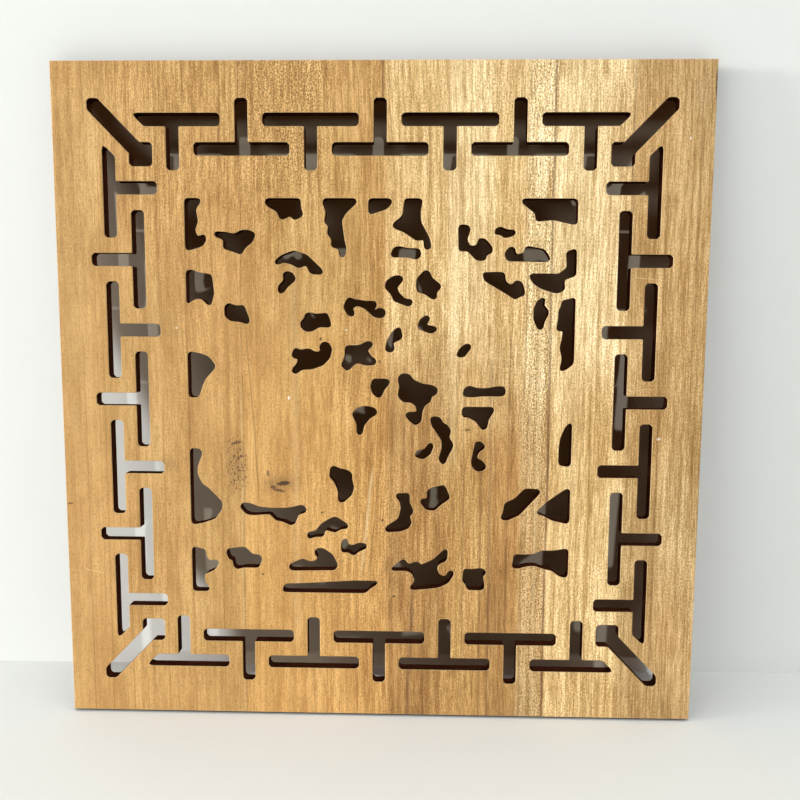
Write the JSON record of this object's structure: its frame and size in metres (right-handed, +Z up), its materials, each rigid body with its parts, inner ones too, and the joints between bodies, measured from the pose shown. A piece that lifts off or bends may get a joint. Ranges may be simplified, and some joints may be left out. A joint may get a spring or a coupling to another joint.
{
  "type": "carved wall panel",
  "caption": "Pierced and carved wooden wall panel, 500 by 512 mm: raised rim, T-shaped fret slots, inner rail and an openwork field of flowers, with a flat bare back.",
  "frame": {"origin": "on the flat back face, in the middle of the top rim, where a hanger is fixed", "axes": "+Z up, +Y out of the flat back towards the wall it hangs on, the carved front faces -Y, X across"},
  "size_m": [0.5, 0.018, 0.512],
  "materials": {
    "wood": "bare sanded back, dark stain on the front, the sides and the walls of the slots"
  },
  "bodies": {
    "root": {"panel": "wood"}
  },
  "joints": []
}
